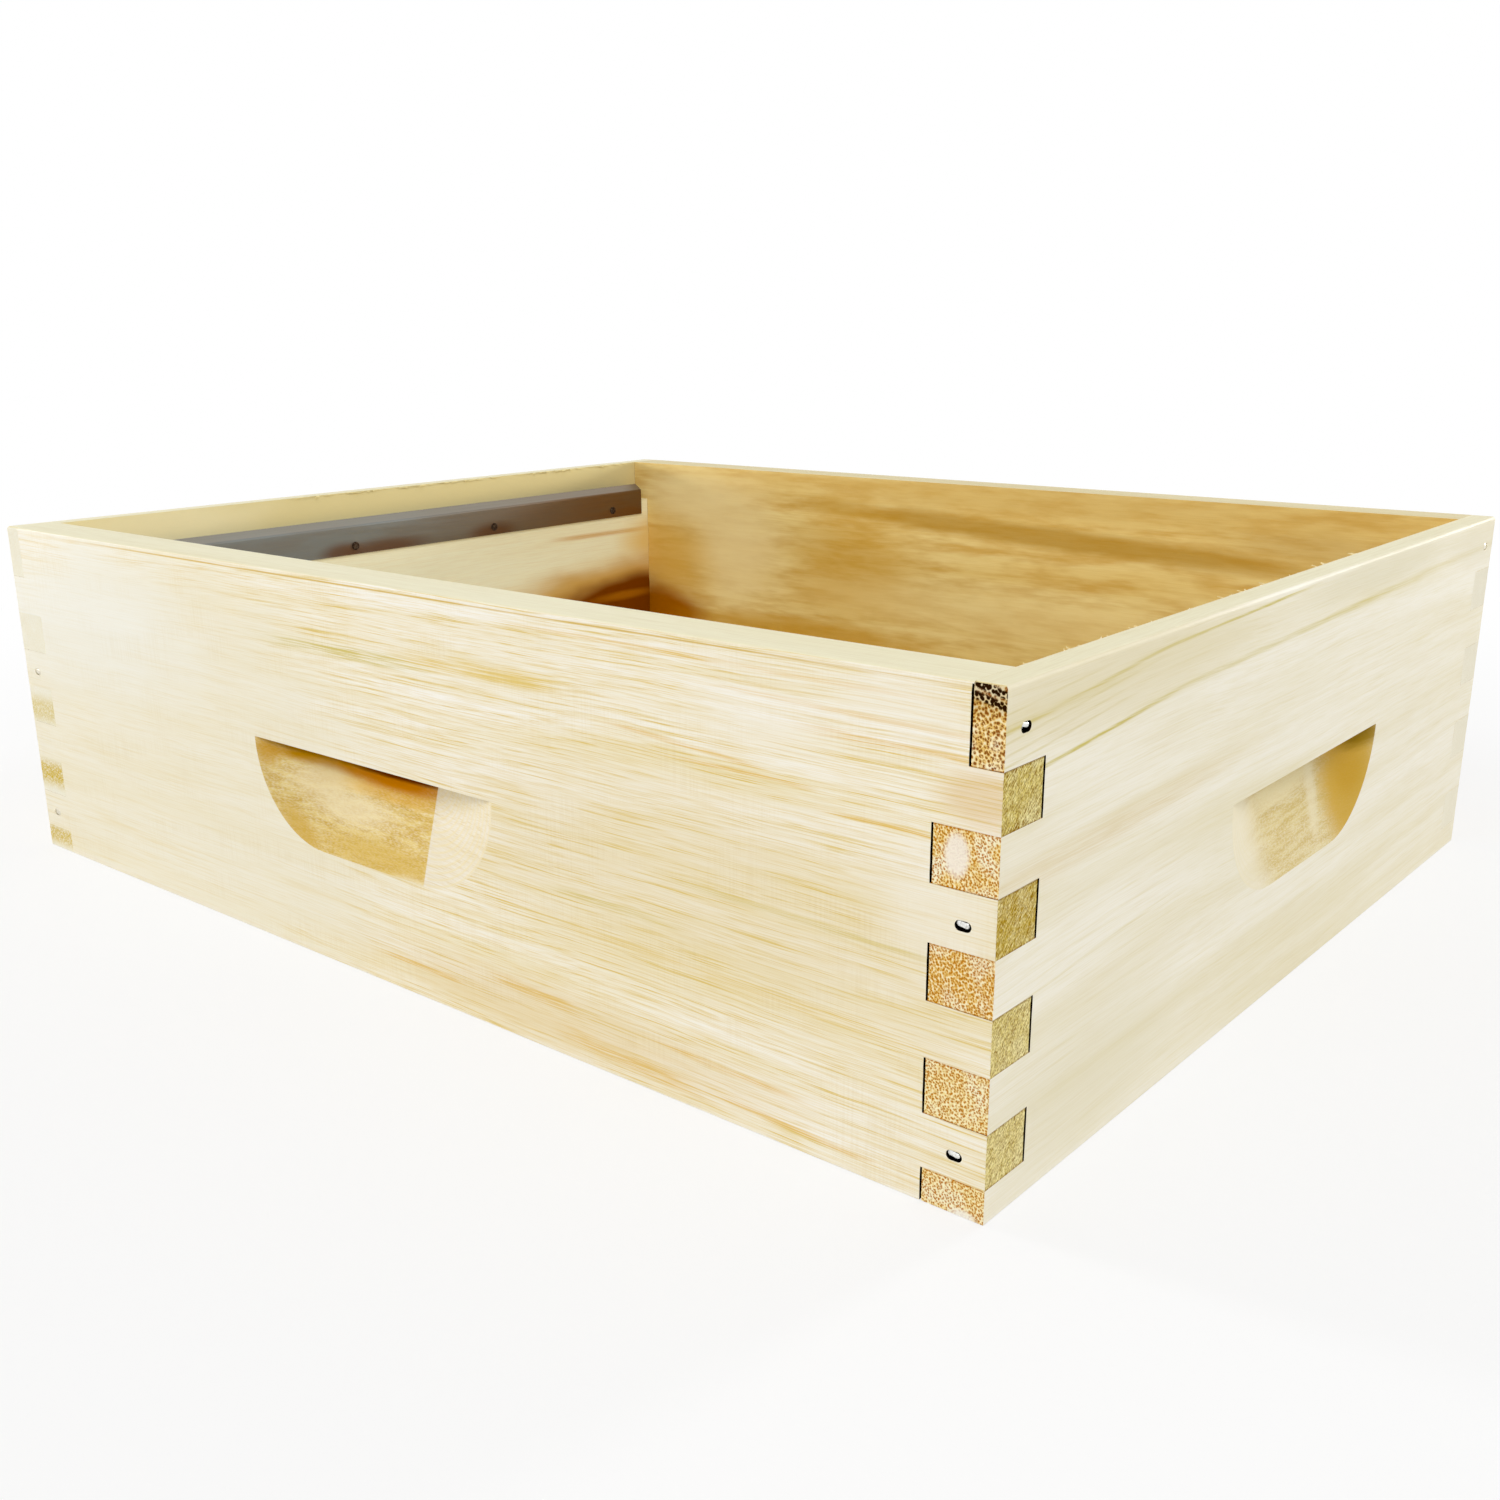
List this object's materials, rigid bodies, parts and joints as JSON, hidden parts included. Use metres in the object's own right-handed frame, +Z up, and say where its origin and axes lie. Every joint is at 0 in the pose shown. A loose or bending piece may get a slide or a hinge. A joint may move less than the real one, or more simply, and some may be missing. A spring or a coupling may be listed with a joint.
{
  "type": "beehive super",
  "caption": "Open-ended shallow wooden hive box with finger-jointed nailed corners, scooped handholds and folded metal rests along rebated ends that carry hanging comb frames.",
  "frame": {"origin": "middle of the bottom opening, at the level of the bottom edges", "axes": "+X along the long side boards to the right end, +Y from the front board to the back board, +Z up"},
  "size_m": [0.505, 0.413, 0.1484],
  "materials": {
    "wood": "bare planed pale softwood",
    "rest_metal": "dull dark folded sheet, a little rusty at the tacks",
    "nail_metal": "plain bright steel",
    "tack_metal": "dull steel, lightly rusted"
  },
  "bodies": {
    "root": {"front_side_board": "wood", "back_side_board": "wood", "left_end_board": "wood", "right_end_board": "wood", "left_frame_rest": "rest_metal", "right_frame_rest": "rest_metal", "front_left_side_nails": "nail_metal", "front_right_side_nails": "nail_metal", "back_left_side_nails": "nail_metal", "back_right_side_nails": "nail_metal", "front_left_end_nail": "nail_metal", "front_right_end_nail": "nail_metal", "back_left_end_nail": "nail_metal", "back_right_end_nail": "nail_metal", "left_rest_tacks": "tack_metal", "right_rest_tacks": "tack_metal"}
  },
  "joints": []
}
